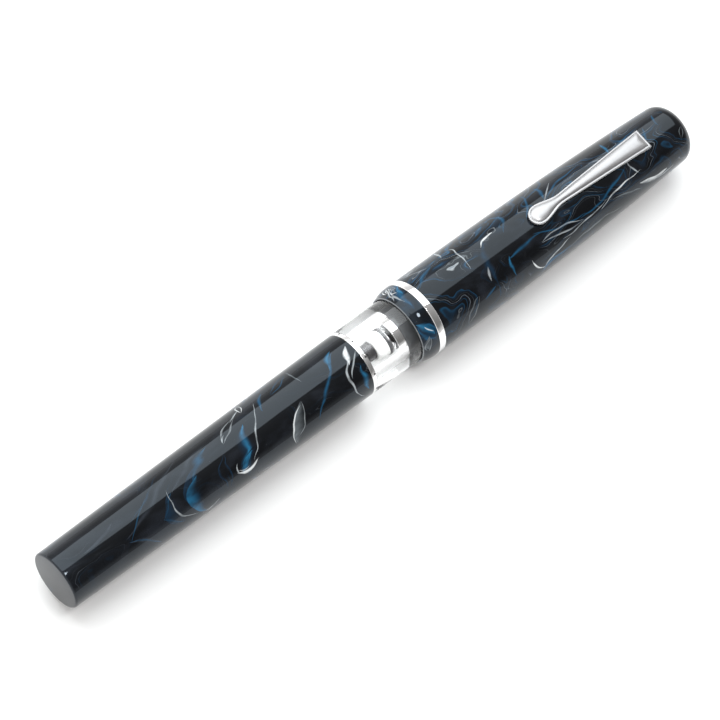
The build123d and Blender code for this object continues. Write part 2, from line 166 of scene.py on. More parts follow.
def finish_mesh(name, verts, faces, body, node, look, sharp=40):
    """Makes a piece that rides on a body in a CAD node's place, smooth except at sharp edges."""
    mesh = bpy.data.meshes.new(name)
    mesh.from_pydata([tuple(v) for v in verts], [], faces)
    clean = bmesh.new()
    clean.from_mesh(mesh)
    bmesh.ops.remove_doubles(clean, verts=clean.verts, dist=1e-7)
    bmesh.ops.dissolve_degenerate(clean, edges=clean.edges, dist=1e-8)
    bmesh.ops.recalc_face_normals(clean, faces=clean.faces)
    clean.to_mesh(mesh)
    clean.free()
    mesh.shade_smooth()
    mesh.set_sharp_from_angle(angle=math.radians(sharp))
    piece = bpy.data.objects.new(name, mesh)
    bpy.context.scene.collection.objects.link(piece)
    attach(piece, body)
    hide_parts(node)
    mesh.materials.append(look)
    return piece


def lathe(name, outline, body, node, look, segments=160):
    """Turns a closed outline of (station, radius) points about the pen's axis."""
    verts = []
    faces = []
    count = len(outline)
    for ring in range(segments):
        angle = 2 * math.pi * ring / segments
        for station, radius in outline:
            verts.append(place(station, radius * math.sin(angle), radius * math.cos(angle)))
    for ring in range(segments):
        following = (ring + 1) % segments
        for index in range(count):
            other = (index + 1) % count
            if outline[index][1] <= 0 and outline[other][1] <= 0:
                continue
            faces.append((
                ring * count + index,
                ring * count + other,
                following * count + other,
                following * count + index,
            ))
    return finish_mesh(name, verts, faces, body, node, look)


def smooth_line(points, steps=10):
    """A smooth open line through (station, radius) points, by Catmull-Rom spans."""
    result = []
    padded = [points[0]] + list(points) + [points[-1]]
    for index in range(1, len(padded) - 2):
        p0, p1, p2, p3 = (Vector(p) for p in padded[index - 1:index + 3])
        for step in range(steps):
            t = step / steps
            spot = 0.5 * (
                2 * p1 + (p2 - p0) * t + (2 * p0 - 5 * p1 + 4 * p2 - p3) * t ** 2
                + (3 * p1 - p0 - 3 * p2 + p3) * t ** 3
            )
            result.append(tuple(spot))
    result.append(tuple(points[-1]))
    return result


# ---- Material helpers ------------------------------------------------------------------------
class Graph:
    """A material's node tree, with short ways to add its nodes."""

    def __init__(self, name):
        self.material = bpy.data.materials.new(name)
        self.material.use_nodes = True
        self.tree = self.material.node_tree
        self.tree.nodes.clear()
        self.output = self.tree.nodes.new("ShaderNodeOutputMaterial")

    def add(self, kind, inputs=None, **settings):
        node = self.tree.nodes.new("ShaderNode" + kind)
        for key, value in settings.items():
            setattr(node, key, value)
        for key, value in (inputs or {}).items():
            self.set(node.inputs[key], value)
        return node

    def set(self, socket, value):
        if isinstance(value, bpy.types.NodeSocket):
            self.tree.links.new(value, socket)
        else:
            socket.default_value = value

    def math(self, operation, first, second=0.0):
        return self.add("Math", {0: first, 1: second}, operation=operation).outputs[0]

    def vector(self, operation, first, second):
        return self.add("VectorMath", {0: first, 1: second}, operation=operation).outputs[0]

    def mix(self, factor, first, second):
        node = self.add("Mix", data_type="RGBA")
        self.set(node.inputs[0], factor)
        self.set(node.inputs[6], first)
        self.set(node.inputs[7], second)
        return node.outputs[2]

    def range(self, value, low, high, to_low=0.0, to_high=1.0):
        node = self.add("MapRange", {0: value, 1: low, 2: high, 3: to_low, 4: to_high})
        node.interpolation_type = "SMOOTHSTEP"
        return node.outputs[0]

    def noise(self, where, scale, detail, rough=0.5, colour=False):
        inputs = {"Vector": where, "Scale": scale, "Detail": detail, "Roughness": rough}
        return self.add("TexNoise", inputs).outputs[1 if colour else 0]

    def bump(self, height, strength, distance):
        inputs = {"Height": height, "Strength": strength, "Distance": distance}
        return self.add("Bump", inputs).outputs[0]

    def shader(self, **inputs):
        node = self.add("BsdfPrincipled")
        for key, value in inputs.items():
            self.set(node.inputs[key.replace("_", " ")], value)
        self.tree.links.new(node.outputs[0], self.output.inputs["Surface"])
        return self.material

    def millimetres(self):
        """Object coordinates in millimetres from the middle of the pen on its axis."""
        where = self.add("TexCoord").outputs["Object"]
        node = self.add("Mapping", {"Vector": where, "Scale": (1000, 1000, 1000)})
        node.inputs["Location"].default_value = (0, 0, -AXIS_Z)
        return node.outputs[0]


def rgb(red, green, blue):
    return (red, green, blue, 1)


BLACK_RESIN = rgb(0.0022, 0.0022, 0.0028)
SMOKE = rgb(0.012, 0.014, 0.019)
HAZE = rgb(0.026, 0.031, 0.040)
DEEP_BLUE = rgb(0.005, 0.023, 0.049)
BLUE = rgb(0.010, 0.074, 0.152)
BRIGHT_BLUE = rgb(0.018, 0.138, 0.270)
GREY = rgb(0.11, 0.125, 0.135)
PALE = rgb(0.36, 0.39, 0.41)
WHITE = rgb(0.72, 0.75, 0.76)
COOL_GLOSS = rgb(0.78, 0.89, 1.0)


def fine_wear(g, where):
    """Roughness of polished resin: faint smears and hairline scratches."""
    smear = g.noise(where, 0.35, 3)
    scratch_space = g.vector("MULTIPLY", where, (0.25, 3.0, 3.0))
    scratches = g.range(g.noise(scratch_space, 2.4, 4), 0.60, 0.72)
    base = g.range(smear, 0.3, 0.7, 0.035, 0.075)
    return g.math("ADD", base, g.math("MULTIPLY", scratches, 0.03))


def stroke_group():
    """Node group: how far across one tapered, bent brush stroke a point is, from -1 to 1 at its edges."""
    group = bpy.data.node_groups.new("stroke", "ShaderNodeTree")
    names = ("Along", "Round", "Station", "Arc", "Cosine", "Sine", "Half length", "Half width", "Bend")
    for name in names:
        group.interface.new_socket(name, in_out="INPUT", socket_type="NodeSocketFloat")
    group.interface.new_socket("Across", in_out="OUTPUT", socket_type="NodeSocketFloat")
    entry = group.nodes.new("NodeGroupInput").outputs
    leave = group.nodes.new("NodeGroupOutput").inputs

    def calc(operation, first, second):
        node = group.nodes.new("ShaderNodeMath")
        node.operation = operation
        for socket, value in zip(node.inputs, (first, second)):
            if isinstance(value, bpy.types.NodeSocket):
                group.links.new(value, socket)
            else:
                socket.default_value = value
        return node.outputs[0]

    dx = calc("SUBTRACT", entry["Along"], entry["Station"])
    da = calc("SUBTRACT", entry["Round"], entry["Arc"])
    u = calc("ADD", calc("MULTIPLY", dx, entry["Cosine"]), calc("MULTIPLY", da, entry["Sine"]))
    v = calc("SUBTRACT", calc("MULTIPLY", da, entry["Cosine"]), calc("MULTIPLY", dx, entry["Sine"]))
    u = calc("DIVIDE", u, entry["Half length"])
    v = calc("ADD", v, calc("MULTIPLY", entry["Bend"], calc("MULTIPLY", u, u)))
    taper = calc("MAXIMUM", calc("SUBTRACT", 1.0, calc("MULTIPLY", u, u)), 0.0001)
    width = calc("MULTIPLY", entry["Half width"], taper)
    group.links.new(calc("DIVIDE", v, width), leave["Across"])
    return group


STROKE = stroke_group()


def stroke(g, along, around, radius, spot, angle, size, tilt, bend):
    """Mask inputs of one stroke: spot is a station, angle is degrees round from the top towards +Y."""
    node = g.add("Group")
    node.node_tree = STROKE
    turn = math.radians(tilt)
    values = {
        "Along": along,
        "Round": around,
        "Station": spot + START,
        "Arc": math.radians(angle) * radius,
        "Cosine": math.cos(turn),
        "Sine": math.sin(turn),
        "Half length": size[0],
        "Half width": size[1],
        "Bend": bend,
    }
    for key, value in values.items():
        g.set(node.inputs[key], value)
    return node.outputs[0]


def stroke_mask(g, across, kind):
    """A stroke's shape: a crisp or soft leaf, an outline, or an edge that is sharp on one side only."""
    away = g.math("ABSOLUTE", across)
    if kind == "leaf":
        return g.range(away, 0.25, 1.0, 1, 0)
    if kind == "soft":
        return g.range(away, -0.30, 1.0, 1, 0)
    if kind == "outline":
        return g.math("MULTIPLY", g.range(away, 0.50, 0.86), g.range(away, 0.90, 1.06, 1, 0))
    return g.math("MULTIPLY", g.range(across, 0.84, 1.0, 1, 0), g.range(across, -1.0, 0.95))


# Swirl lines: level of the noise, half width of the line, tint, strength, reach of its glow.
SWIRLS = (
    (0.425, 0.0075, BLUE, 0.95, 0.040),
    (0.468, 0.0030, GREY, 0.80, 0.0),
    (0.500, 0.0034, PALE, 0.85, 0.018),
    (0.530, 0.0060, BLUE, 0.80, 0.0),
    (0.575, 0.0090, BLUE, 0.95, 0.045),
    (0.598, 0.0026, PALE, 0.80, 0.0),
    (0.630, 0.0030, GREY, 0.80, 0.0),
)


def where_shown(g, where, moved, density, radius, clear_side):
    """How much the swirls show: in patches, on the turned side only, and less on the clear side."""
    patch = g.noise(g.vector("ADD", moved, (31, 7, 11)), 0.13, 2)
    shown = g.range(patch, 0.60 - 0.14 * density, 0.74 - 0.14 * density)
    side_angle, side_cosine, side_share = clear_side
    facing = (0, math.sin(math.radians(side_angle)), math.cos(math.radians(side_angle)))
    side = g.add("VectorMath", {0: where, 1: facing}, operation="DOT_PRODUCT").outputs["Value"]
    from_axis = g.add("VectorMath", {0: g.vector("MULTIPLY", where, (0, 1, 1))}, operation="LENGTH")
    shown = g.math("MULTIPLY", shown, g.range(from_axis.outputs["Value"], 0.55 * radius, 0.85 * radius))
    low = radius * side_cosine
    return g.math("MULTIPLY", shown, g.range(side, low, low + 0.35 * radius, 1, side_share))


def swirls(g, where, offset, density, radius, clear_side):
    """Colour of the resin's smoky ground and of the flowing lines in it, which follow warped noise."""
    moved = g.vector("ADD", g.vector("MULTIPLY", where, (0.55, 1, 1)), offset)
    broad = g.vector("SUBTRACT", g.noise(moved, 0.075, 1, colour=True), (0.5, 0.5, 0.5))
    fine = g.vector("SUBTRACT", g.noise(moved, 0.28, 2, colour=True), (0.5, 0.5, 0.5))
    warped = g.vector("ADD", moved, g.vector("MULTIPLY", broad, (26, 26, 26)))
    warped = g.vector("ADD", warped, g.vector("MULTIPLY", fine, (3.4, 3.4, 3.4)))
    field = g.noise(warped, 0.115, 1, 0.4)
    shown = where_shown(g, where, moved, density, radius, clear_side)
    smoke = g.range(g.noise(warped, 0.16, 3), 0.45, 0.75)
    colour = g.mix(g.math("MULTIPLY", smoke, 0.55 + 0.3 * density), BLACK_RESIN, SMOKE)
    fade = g.range(g.noise(g.vector("ADD", warped, (5, 50, 9)), 0.23, 2), 0.36, 0.64, 0.10, 1)
    for level, width, tint, strength, reach in SWIRLS:
        away = g.math("SUBTRACT", field, level)
        if reach:
            one_side = g.math("GREATER_THAN", away, 0.0)
            glow = g.math("MULTIPLY", g.range(away, 0.0, reach, 0.9, 0), one_side)
            colour = g.mix(g.math("MULTIPLY", glow, shown), colour, DEEP_BLUE)
        line = g.range(g.math("ABSOLUTE", away), 0.0, width, 1, 0)
        seen = g.math("MULTIPLY", g.math("MULTIPLY", line, shown), g.math("MULTIPLY", fade, strength))
        colour = g.mix(seen, colour, tint)
    return colour


def with_strokes(g, where, colour, radius, strokes):
    """Lays the chosen strokes over a colour, each bent a little by noise and broken up along its length."""
    split = g.add("SeparateXYZ", {0: where})
    around = g.math("MULTIPLY", g.math("ARCTAN2", split.outputs[1], split.outputs[2]), radius)
    shifted = g.vector("ADD", g.vector("MULTIPLY", where, (0.6, 1, 1)), (9, 9, 9))
    wobble = g.vector("SUBTRACT", g.noise(shifted, 0.26, 1, colour=True), (0.5, 0.5, 0.5))
    wobble_parts = g.add("SeparateXYZ", {0: wobble})
    along = g.math("ADD", split.outputs[0], g.math("MULTIPLY", wobble_parts.outputs[0], 2.4))
    around = g.math("ADD", around, g.math("MULTIPLY", wobble_parts.outputs[1], 2.4))
    broken = g.range(g.noise(g.vector("MULTIPLY", where, (0.5, 1, 1)), 0.7, 2), 0.32, 0.60, 0.45, 1)
    for tint, kind, strength, spot, angle, size, tilt, bend in strokes:
        across = stroke(g, along, around, radius, spot, angle, size, tilt, bend)
        mask = g.math("MULTIPLY", stroke_mask(g, across, kind), broken)
        colour = g.mix(g.math("MULTIPLY", mask, strength), colour, tint)
    return colour


def marbled(name, offset, density, radius, strokes, clear_side, gloss, painted_rim_light=None):
    """Polished black resin with flowing blue and white swirls, plus chosen strokes.

    clear_side is where the strokes take over from the swirls: an angle, how wide (a cosine) and how much.
    gloss is its index of refraction.
    The last argument is the range of stations over which the lip's mouth edge is painted pale: a painted
    highlight for the light line on its rim.
    """
    g = Graph(name)
    where = g.millimetres()
    colour = swirls(g, where, offset, density, radius, clear_side)
    colour = with_strokes(g, where, colour, radius, strokes)
    # Painted highlight: a pale grey band round the lip's mouth edge stands in for the light its rim catches.
    if painted_rim_light:
        along = g.add("SeparateXYZ", {0: where}).outputs[0]
        edge = g.range(along, painted_rim_light[0] + START, painted_rim_light[1] + START, 1, 0)
        colour = g.mix(edge, colour, rgb(0.20, 0.21, 0.22))
    ripple = g.bump(g.noise(where, 0.16, 1), 0.10, 0.0004)
    return g.shader(
        Base_Color=colour,
        Roughness=fine_wear(g, where),
        IOR=gloss,
        Specular_Tint=COOL_GLOSS,
        Normal=ripple,
    )


def metal(name, tint, rough, grain=0.0, grain_scale=(0.2, 6.0, 6.0), patchy=1.0):
    """Polished or turned metal: smears in its gloss and, if wanted, fine turning marks."""
    g = Graph(name)
    where = g.millimetres()
    smear = g.noise(where, 0.8, 4)
    lines = g.noise(g.vector("MULTIPLY", where, grain_scale), 3.0, 3)
    shade = g.mix(g.range(smear, 0.35, 0.75, 0.0, 0.35 * patchy), tint, rgb(*(0.82 * c for c in tint[:3])))
    smeared = g.range(smear, 0.3, 0.7, rough * (1 - 0.3 * patchy), rough * (1 + 0.4 * patchy))
    roughness = g.math("ADD", smeared, g.math("MULTIPLY", lines, grain * 0.15))
    normal = g.bump(lines, 0.04 + 0.25 * grain, 0.00002)
    return g.shader(Base_Color=shade, Metallic=1.0, Roughness=roughness, Normal=normal)


def plastic(name, tint, light, rough, scale=1.2, bump=0.05):
    """Plain moulded plastic or rubber with a faint mottle and moulding texture."""
    g = Graph(name)
    where = g.millimetres()
    mottle = g.noise(where, scale, 4)
    fine = g.noise(where, scale * 9, 2)
    colour = g.mix(g.range(mottle, 0.35, 0.7), tint, light)
    roughness = g.range(mottle, 0.3, 0.7, rough * 0.85, rough * 1.2)
    return g.shader(
        Base_Color=colour, Roughness=roughness, Normal=g.bump(fine, bump, 0.00003), IOR=1.5
    )


def dark_resin():
    """The section's plain dark resin, painted grey where it sits inside the clear window: a painted
    reflection standing in for the light that part catches.
    """
    g = Graph("section_resin")
    where = g.millimetres()
    mottle = g.noise(where, 0.5, 4)
    colour = g.mix(g.range(mottle, 0.35, 0.7), BLACK_RESIN, rgb(0.008, 0.009, 0.012))
    along = g.add("SeparateXYZ", {0: where}).outputs[0]
    # Painted reflection: the resin inside the window is mixed towards grey to stand in for the light it
    # reflects there.
    painted_tenon_reflection = g.range(along, WINDOW_FRONT - 1.5 + START, WINDOW_FRONT - 0.5 + START, 0.9, 0)
    colour = g.mix(painted_tenon_reflection, colour, rgb(0.090, 0.094, 0.100))
    ripple = g.bump(g.noise(where, 0.4, 2), 0.06, 0.0002)
    return g.shader(Base_Color=colour, Roughness=fine_wear(g, where), IOR=1.5, Normal=ripple)


def clear_acrylic():
    """Clear acrylic that lets the lamps' light through to what is behind it."""
    g = Graph("clear_acrylic")
    where = g.millimetres()
    smear = g.range(g.noise(where, 0.5, 3), 0.35, 0.7, 0.0, 0.03)
    ripple = g.bump(g.noise(g.vector("MULTIPLY", where, (0.6, 0.25, 0.25)), 0.5, 1), 0.03, 0.0002)
    g.shader(
        Base_Color=rgb(0.99, 0.995, 0.995),
        Roughness=smear,
        IOR=1.49,
        Transmission_Weight=1.0,
        Normal=ripple,
    )
    solid = g.output.inputs["Surface"].links[0].from_socket
    through = g.add("BsdfTransparent", {"Color": rgb(0.985, 0.99, 0.99)})
    path = g.add("LightPath")
    both = g.add("MixShader", {0: path.outputs["Is Shadow Ray"], 1: solid, 2: through.outputs[0]})
    g.tree.links.new(both.outputs[0], g.output.inputs["Surface"])
    return g.material


# Strokes: tint, kind, strength, station, degrees round from the top towards +Y, (half length, half width),
# tilt in degrees from the pen's length, and how far the ends bend to one side.
BODY_STROKES = [
    (HAZE, "soft", 0.85, 21.4, 0, (9.0, 0.75), 24, -0.8),
    (HAZE, "soft", 0.80, 29.4, 12, (5.6, 0.60), 20, 0.9),
    (HAZE, "leaf", 0.80, 8.6, -4, (4.4, 0.42), 10, -0.7),
    (HAZE, "leaf", 0.80, 16.3, -54, (3.6, 0.60), -38, 0.4),
    (BLUE, "leaf", 0.45, 16.3, -54, (3.9, 0.22), -38, 0.4),
    (BLUE, "leaf", 0.50, 16.6, -11, (4.2, 0.22), 38, 0.3),
    (BLUE, "leaf", 0.60, 22.4, -23, (2.5, 0.20), 34, 0.2),
    (BLUE, "leaf", 0.60, 22.3, -51, (2.5, 0.24), -42, 0.2),
    (DEEP_BLUE, "leaf", 0.60, 20.0, 8, (6.0, 0.28), 24, -0.5),
    (DEEP_BLUE, "edge", 0.75, 22.5, -38, (3.2, 1.90), 90, 1.9),
    (PALE, "leaf", 0.80, 23.4, -45, (3.8, 0.24), 113, 2.6),
    (PALE, "leaf", 0.85, 29.9, -76, (2.6, 0.26), 9, -0.4),
    (DEEP_BLUE, "edge", 0.90, 28.0, -32, (4.9, 2.20), 74, 1.9),
    (BRIGHT_BLUE, "edge", 0.70, 27.5, -42, (3.6, 1.60), 80, 2.0),
    (BLUE, "soft", 0.75, 31.0, 4, (3.6, 0.80), 34, 0.9),
    (DEEP_BLUE, "outline", 0.80, 34.4, -36, (3.2, 1.00), 80, 0.6),
    (DEEP_BLUE, "soft", 0.98, 39.8, -26, (4.8, 2.10), 72, 0.6),
    (BRIGHT_BLUE, "soft", 0.98, 40.6, -12, (3.4, 1.00), 72, 0.4),
    (BRIGHT_BLUE, "soft", 0.90, 39.0, -43, (2.2, 1.50), 52, -0.5),
    (BLACK_RESIN, "leaf", 0.90, 39.9, -31, (1.7, 0.26), 22, 0.5),
    (BLACK_RESIN, "leaf", 0.90, 38.6, -40, (1.5, 0.22), 38, -0.4),
    (BRIGHT_BLUE, "leaf", 0.80, 39.2, -35, (1.6, 0.20), 30, 0.4),
    (BLACK_RESIN, "leaf", 0.80, 39.4, -50, (1.2, 0.20), 50, 0.3),
    (WHITE, "leaf", 0.95, 38.8, -60, (2.8, 0.42), -6, -1.1),
    (PALE, "leaf", 0.80, 37.9, -53, (1.4, 0.20), -20, -0.5),
    (PALE, "leaf", 0.85, 36.6, -42, (1.2, 0.24), 78, 0.3),
    (PALE, "leaf", 0.90, 43.6, -9, (5.6, 0.21), 56, 0.3),
    (PALE, "outline", 0.60, 39.4, 25, (3.4, 0.65), 36, 0.3),
    (PALE, "leaf", 0.75, 37.6, 14, (1.0, 0.22), 40, 0.1),
    (GREY, "edge", 0.90, 51.3, -45, (4.0, 1.60), 63, 0.1),
    (WHITE, "leaf", 0.85, 49.9, -42, (3.7, 0.22), 63, 1.3),
    (PALE, "leaf", 0.60, 52.6, -42, (3.3, 0.18), 63, -0.9),
    (BLUE, "soft", 0.95, 59.2, -16, (6.4, 0.60), 45, 0.5),
    (BRIGHT_BLUE, "soft", 0.90, 62.4, 16, (1.9, 0.55), 42, 0.2),
    (PALE, "leaf", 0.95, 63.8, -32, (5.2, 0.34), 84, 2.4),
    (WHITE, "leaf", 0.95, 65.6, 3, (1.7, 0.65), 58, 0.2),
    (PALE, "leaf", 0.85, 65.8, -14, (2.5, 0.26), 50, 0.3),
    (BRIGHT_BLUE, "soft", 0.95, 66.4, -46, (2.7, 0.70), 88, 0.6),
    (WHITE, "outline", 0.85, 44.4, 46, (1.3, 0.60), 60, 0.1),
    (PALE, "leaf", 0.80, 42.4, 42, (1.5, 0.20), 20, 0.2),
    (BLUE, "soft", 0.95, 47.8, 28, (2.1, 0.55), 60, 0.3),
    (BLUE, "outline", 0.60, 52.6, 38, (2.6, 0.80), 30, 0.3),
    (GREY, "leaf", 0.90, 55.5, 32, (2.4, 0.18), 88, 0.2),
]
CAP_STROKES = [
    (PALE, "leaf", 0.95, 95.4, 22, (3.5, 0.24), 96, -0.5),
    (WHITE, "leaf", 0.85, 100.8, 18, (2.0, 0.28), 16, 0.6),
    (PALE, "leaf", 0.80, 97.0, -24, (1.3, 0.24), 60, 0.3),
    (BLUE, "soft", 0.85, 95.4, -47, (1.6, 0.45), 25, 0.2),
    (BRIGHT_BLUE, "soft", 0.95, 102.0, -36, (1.5, 0.45), 88, 0.3),
    (BLUE, "soft", 0.98, 106.2, -25, (4.6, 0.48), 3, 0.3),
    (BLUE, "soft", 0.95, 114.8, -31, (6.2, 0.40), -10, -0.3),
    (BLUE, "soft", 0.98, 126.2, -33, (7.4, 0.46), 13, -0.9),
    (PALE, "outline", 0.80, 114.6, -37, (5.2, 0.95), -6, 0.6),
    (WHITE, "leaf", 0.85, 107.0, -65, (2.5, 0.28), -56, -0.9),
    (PALE, "leaf", 0.95, 111.7, -66, (4.2, 0.26), 24, 0.5),
    (PALE, "leaf", 0.95, 119.9, -49, (6.0, 0.26), 8, -0.4),
    (WHITE, "leaf", 0.80, 129.4, -38, (5.6, 0.28), 9, 0.5),
    (PALE, "leaf", 0.95, 133.7, -23, (1.8, 0.22), 104, 0.3),
    (WHITE, "edge", 0.85, 137.8, -68, (3.6, 0.60), -8, -0.7),
    (PALE, "leaf", 0.90, 140.6, -72, (3.0, 0.22), -6, -0.5),
    (DEEP_BLUE, "soft", 0.95, 114.0, -77, (6.8, 1.20), 5, 0.8),
    (BLUE, "leaf", 0.85, 111.4, -73, (4.4, 0.45), 10, 0.8),
    (GREY, "leaf", 0.90, 122.0, -66, (7.0, 0.26), 2, 1.1),
    (GREY, "leaf", 0.90, 131.0, -56, (4.0, 0.24), -16, 0.4),
    (GREY, "outline", 0.95, 147.0, -26, (1.6, 0.55), 60, 0.3),
    (BRIGHT_BLUE, "soft", 0.90, 132.6, 34, (1.9, 0.50), 84, 0.2),
    (BLUE, "soft", 0.90, 120.5, 28, (5.6, 0.42), 12, 0.8),
    (PALE, "leaf", 0.70, 116.6, 22, (3.0, 0.20), 40, 0.4),
    (BLUE, "soft", 0.95, 106.6, 31, (2.9, 0.60), 88, -1.9),
    (BLUE, "soft", 0.95, 101.8, 42, (1.8, 0.90), 20, 0.2),
    (BLUE, "soft", 0.95, 116.2, 33, (2.0, 0.50), 84, -0.3),
    (BLUE, "soft", 0.90, 112.4, 26, (3.3, 0.50), 60, -0.8),
    (BLUE, "soft", 0.90, 140.4, 8, (1.5, 0.45), 70, 0.2),
    (BLUE, "soft", 0.90, 144.6, 18, (1.8, 0.45), 80, 0.2),
    (BLUE, "soft", 0.90, 87.2, 30, (2.8, 0.65), 30, 0.3),
    (PALE, "leaf", 0.75, 92.8, 50, (1.8, 0.26), 60, 0.2),
    (PALE, "leaf", 0.70, 86.6, 46, (2.2, 0.22), 150, 0.3),
    (GREY, "outline", 0.85, 91.2, -60, (2.4, 0.80), 50, 0.4),
    (DEEP_BLUE, "soft", 0.90, 98.2, -12, (4.2, 1.00), 70, 0.8),
]
LIP_STROKES = [
    (DEEP_BLUE, "soft", 0.98, 81.2, -42, (2.8, 1.90), -53, 0.3),
    (BRIGHT_BLUE, "soft", 0.98, 81.3, -34, (2.3, 1.10), -53, 0.5),
    (BLUE, "outline", 0.80, 81.4, -40, (2.3, 1.45), -53, 0.3),
    (WHITE, "leaf", 0.75, 81.6, -38, (1.1, 0.20), -60, 0.0),
    (GREY, "leaf", 0.90, 80.5, -58, (1.5, 0.90), 80, 0.3),
    (PALE, "outline", 0.60, 80.6, -62, (1.6, 0.70), 70, 0.2),
    (DEEP_BLUE, "soft", 0.98, 81.2, 26, (3.6, 1.50), 84, 0.5),
    (BLUE, "soft", 0.95, 81.4, 24, (2.6, 0.90), 76, 0.5),
    (BRIGHT_BLUE, "leaf", 0.70, 82.0, 34, (1.4, 0.30), 70, 0.3),
    (PALE, "leaf", 0.70, 80.7, 30, (2.2, 0.26), 84, 0.5),
    (WHITE, "leaf", 0.75, 80.6, 48, (1.6, 0.22), 80, 0.3),
    (GREY, "outline", 0.80, 81.0, 44, (2.0, 0.80), 86, 0.3),
    (WHITE, "leaf", 0.90, 80.1, 56, (0.9, 0.14), 70, 0.3),
    (WHITE, "outline", 0.80, 80.8, 52, (0.9, 0.42), 60, 0.2),
    (WHITE, "leaf", 0.85, 81.0, 40, (1.1, 0.15), 110, 0.4),
    (PALE, "outline", 0.85, 81.7, 47, (0.8, 0.38), 100, 0.2),
    (PALE, "leaf", 0.80, 80.5, 33, (1.2, 0.15), 80, -0.4),
]

resin_body = marbled("marbled_resin_body", (3.0, 12.0, 40.0), 0.9, 6.1, BODY_STROKES, (-14, 0.15, 0.12), 1.44)
resin_cap = marbled("marbled_resin_cap", (60.0, 3.0, 17.0), 1.7, 7.1, CAP_STROKES, (-48, 0.55, 0.45), 1.39)
# The lip's mouth edge gets a painted highlight.
resin_lip = marbled(
    "marbled_resin_lip", (11.0, 30.0, 5.0), 1.2, 7.3, LIP_STROKES, (-30, 0.4, 0.3), 1.42,
    painted_rim_light=(LIP_START + 0.03, LIP_START + 0.13),
)
chrome = metal("polished_chrome", rgb(0.90, 0.90, 0.905), 0.05)
clip_chrome = metal("clip_chrome", rgb(0.41, 0.41, 0.418), 0.37, 0.2, (0.4, 3.0, 3.0), patchy=0.15)
steel = metal("turned_steel", rgb(0.30, 0.30, 0.31), 0.26, 0.8, (6.0, 0.3, 0.3))
nib_steel = metal("nib_steel", rgb(0.58, 0.575, 0.565), 0.12, 0.35, (0.3, 5.0, 5.0))
brass = metal("turned_brass", rgb(0.72, 0.50, 0.20), 0.18, 0.6, (6.0, 0.3, 0.3))
dark_steel = metal("dark_steel", rgb(0.10, 0.097, 0.102), 0.28, 0.6, (6.0, 0.3, 0.3))
grey_rubber = plastic("grey_rubber", rgb(0.05, 0.05, 0.055), rgb(0.09, 0.09, 0.095), 0.4, 2.0, 0.08)
bright_ring = metal("bright_ring", rgb(0.90, 0.90, 0.90), 0.16, 0.4, (6.0, 0.3, 0.3))
acrylic = clear_acrylic()
section_resin = dark_resin()
black_plastic = plastic("black_plastic", rgb(0.010, 0.010, 0.011), rgb(0.022, 0.022, 0.024), 0.35)
rubber = plastic("black_rubber", rgb(0.008, 0.008, 0.008), rgb(0.02, 0.02, 0.02), 0.55, 2.0, 0.12)
white_seal = plastic("white_seal", rgb(0.90, 0.90, 0.89), rgb(0.94, 0.94, 0.93), 0.28, 1.0, 0.03)
dark_pin = plastic("dark_pin", rgb(0.012, 0.011, 0.010), rgb(0.03, 0.028, 0.026), 0.4, 3.0)

CAD_MATERIALS = {
    "knob_core": brass,
    "packing_nut": steel,
    "packing_bush": black_plastic,
    "packing_seals": rubber,
    "joint_pins": dark_pin,
    "section": section_resin,
    "section_seal": rubber,
    "section_ring": chrome,
    "nib": nib_steel,
    "feed": black_plastic,
    "nib_collar": black_plastic,
    "plunger_rod": steel,
    "clip_bush": black_plastic,
    "inner_cap": black_plastic,
}
for node_name, look in CAD_MATERIALS.items():
    node_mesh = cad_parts[node_name].data
    node_mesh.materials.clear()
    node_mesh.materials.append(look)


# ---- Knob and barrel -------------------------------------------------------------------------
def body_radius(station):
    return END_RADIUS + (BODY_RADIUS - END_RADIUS) * station / JOINT_START


def with_stations(start, end, spacing=2.0):
    """Outline points along the tapered body, close enough together for a clean surface."""
    count = max(1, round((end - start) / spacing))
    spots = [start + (end - start) * i / count for i in range(1, count)]
    return [(s, body_radius(s), 0) for s in spots]


knob_outline = rounded([
    (0, 0),
    (0, END_RADIUS, 0.45),
    *with_stations(0, KNOB_SEAM),
    (KNOB_SEAM, body_radius(KNOB_SEAM), 0),
    (KNOB_SEAM, KNOB_POCKET_RADIUS),
    (KNOB_POCKET_START, KNOB_POCKET_RADIUS),
    (KNOB_POCKET_START, 0),
], steps=6)
lathe("knob_shell", knob_outline, "filler_knob", "knob", resin_body)

barrel_outline = rounded([
    (KNOB_SEAM, FLANGE_RADIUS),
    (KNOB_SEAM, body_radius(KNOB_SEAM), 0),
    *with_stations(KNOB_SEAM, JOINT_START),
    (JOINT_START, BODY_RADIUS, 0.04),
    (JOINT_START, SPIGOT_RADIUS, 0),
    (SPIGOT_START, SPIGOT_RADIUS, 0),
    (SPIGOT_START, WINDOW_BORE),
    (SPIGOT_START - CHAMBER_TAPER, CHAMBER_RADIUS),
    (CHAMBER_START, CHAMBER_RADIUS, 0),
    (CHAMBER_START, PACKING_SEAT_RADIUS, 0),
    (FLANGE_END, PACKING_SEAT_RADIUS, 0),
    (FLANGE_END, FLANGE_RADIUS, 0),
], steps=4)
lathe("barrel_shell", barrel_outline, "pen_body", "barrel", resin_body)

ring_outline = rounded([
    (JOINT_START, SPIGOT_RADIUS, 0),
    (JOINT_START, BODY_RADIUS - 0.005, 0.06),
    (JOINT_END, BODY_RADIUS - 0.005, 0.06),
    (JOINT_END, SPIGOT_RADIUS, 0),
])
lathe("joint_band", ring_outline, "pen_body", "joint_ring", bright_ring, 240)


# ---- Clear window ----------------------------------------------------------------------------
def thread_points(ends, count, root, crest):
    """Outline points of a thread's ridges, from its root to its crest and back."""
    start, end = ends
    pitch = (end - start) / count
    points = []
    for turn in range(count):
        base = start + turn * pitch
        points += [
            (base + 0.10 * pitch, root, 0.05),
            (base + 0.35 * pitch, crest, 0.05),
            (base + 0.60 * pitch, crest, 0.05),
            (base + 0.85 * pitch, root, 0.05),
        ]
    return points


